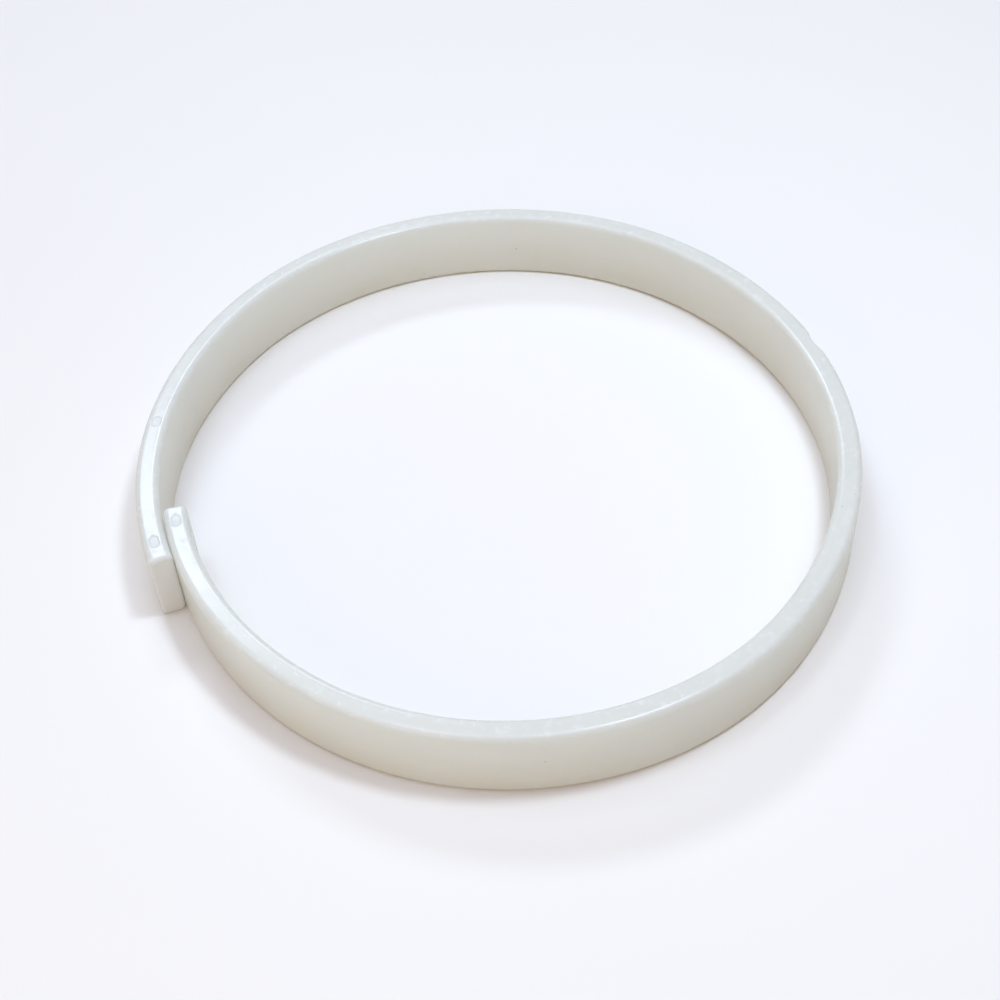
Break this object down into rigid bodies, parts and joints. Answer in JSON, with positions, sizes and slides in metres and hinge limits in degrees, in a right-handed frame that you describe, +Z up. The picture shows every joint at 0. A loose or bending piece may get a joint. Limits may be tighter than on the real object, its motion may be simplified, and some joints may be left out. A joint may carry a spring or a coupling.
{
  "type": "split band hoop",
  "caption": "Springy split hoop: a flat white plastic band standing on edge, bent round into a ring whose two free ends overlap side by side.",
  "frame": {"origin": "centre of the hoop's bounding box, on the lower edge that it stands on", "axes": "+Z up, across the band's height; -X towards the side where the two ends overlap; +X towards the middle of the strip, where its gate was trimmed"},
  "size_m": [0.1484, 0.156, 0.016],
  "materials": {
    "band_plastic": "natural white nylon, slightly translucent, satin with a soft gloss"
  },
  "bodies": {
    "inner_end": {"inner_end": "band_plastic"},
    "band_02": {"band_02": "band_plastic"},
    "band_03": {"band_03": "band_plastic"},
    "band_04": {"band_04": "band_plastic"},
    "band_05": {"band_05": "band_plastic"},
    "band_06": {"band_06": "band_plastic"},
    "band_07": {"band_07": "band_plastic"},
    "band_08": {"band_08": "band_plastic"},
    "band_09": {"band_09": "band_plastic"},
    "band_10": {"band_10": "band_plastic"},
    "band_11": {"band_11": "band_plastic"},
    "band_12": {"band_12": "band_plastic"},
    "outer_end": {"outer_end": "band_plastic"}
  },
  "joints": [
    {"name": "flex_07", "type": "hinge", "parent": "band_07", "child": "band_08", "pos_m": [0.05944, 0.04142, 0.008], "axis": [0, 0, -1], "range_deg": [-0.1, 5], "stiffness_Nm_per_rad": 6},
    {"name": "flex_08", "type": "hinge", "parent": "band_08", "child": "band_09", "pos_m": [0.03352, 0.06656, 0.008], "axis": [0, 0, -1], "range_deg": [-0.1, 5], "stiffness_Nm_per_rad": 6},
    {"name": "flex_09", "type": "hinge", "parent": "band_09", "child": "band_10", "pos_m": [-0.0014, 0.07556, 0.008], "axis": [0, 0, -1], "range_deg": [-0.1, 5], "stiffness_Nm_per_rad": 6},
    {"name": "flex_10", "type": "hinge", "parent": "band_10", "child": "band_11", "pos_m": [-0.03607, 0.06569, 0.008], "axis": [0, 0, -1], "range_deg": [-0.1, 5], "stiffness_Nm_per_rad": 6},
    {"name": "flex_11", "type": "hinge", "parent": "band_11", "child": "band_12", "pos_m": [-0.06106, 0.03968, 0.008], "axis": [0, 0, -1], "range_deg": [-0.1, 5], "stiffness_Nm_per_rad": 6},
    {"name": "flex_12", "type": "hinge", "parent": "band_12", "child": "outer_end", "pos_m": [-0.07155, 0.00506, 0.008], "axis": [0, 0, -1], "range_deg": [-0.1, 5], "stiffness_Nm_per_rad": 6},
    {"name": "flex_06", "type": "hinge", "parent": "band_07", "child": "band_06", "pos_m": [0.07133, 0.00727, 0.008], "axis": [0, 0, 1], "range_deg": [-0.1, 5], "stiffness_Nm_per_rad": 6},
    {"name": "flex_05", "type": "hinge", "parent": "band_06", "child": "band_05", "pos_m": [0.06685, -0.02861, 0.008], "axis": [0, 0, 1], "range_deg": [-0.1, 5], "stiffness_Nm_per_rad": 6},
    {"name": "flex_04", "type": "hinge", "parent": "band_05", "child": "band_04", "pos_m": [0.04683, -0.05869, 0.008], "axis": [0, 0, 1], "range_deg": [-0.1, 5], "stiffness_Nm_per_rad": 6},
    {"name": "flex_03", "type": "hinge", "parent": "band_04", "child": "band_03", "pos_m": [0.01448, -0.07452, 0.008], "axis": [0, 0, 1], "range_deg": [-0.1, 5], "stiffness_Nm_per_rad": 6},
    {"name": "flex_02", "type": "hinge", "parent": "band_03", "child": "band_02", "pos_m": [-0.02136, -0.07098, 0.008], "axis": [0, 0, 1], "range_deg": [-0.1, 5], "stiffness_Nm_per_rad": 6},
    {"name": "flex_01", "type": "hinge", "parent": "band_02", "child": "inner_end", "pos_m": [-0.05017, -0.0493, 0.008], "axis": [0, 0, 1], "range_deg": [-0.1, 5], "stiffness_Nm_per_rad": 6}
  ],
  "couplings": [
    {"joint": "flex_08", "follows": "flex_07", "ratio": 1},
    {"joint": "flex_09", "follows": "flex_07", "ratio": 1},
    {"joint": "flex_10", "follows": "flex_07", "ratio": 1},
    {"joint": "flex_11", "follows": "flex_07", "ratio": 1},
    {"joint": "flex_12", "follows": "flex_07", "ratio": 1},
    {"joint": "flex_06", "follows": "flex_07", "ratio": 1},
    {"joint": "flex_05", "follows": "flex_07", "ratio": 1},
    {"joint": "flex_04", "follows": "flex_07", "ratio": 1},
    {"joint": "flex_03", "follows": "flex_07", "ratio": 1},
    {"joint": "flex_02", "follows": "flex_07", "ratio": 1},
    {"joint": "flex_01", "follows": "flex_07", "ratio": 1}
  ]
}
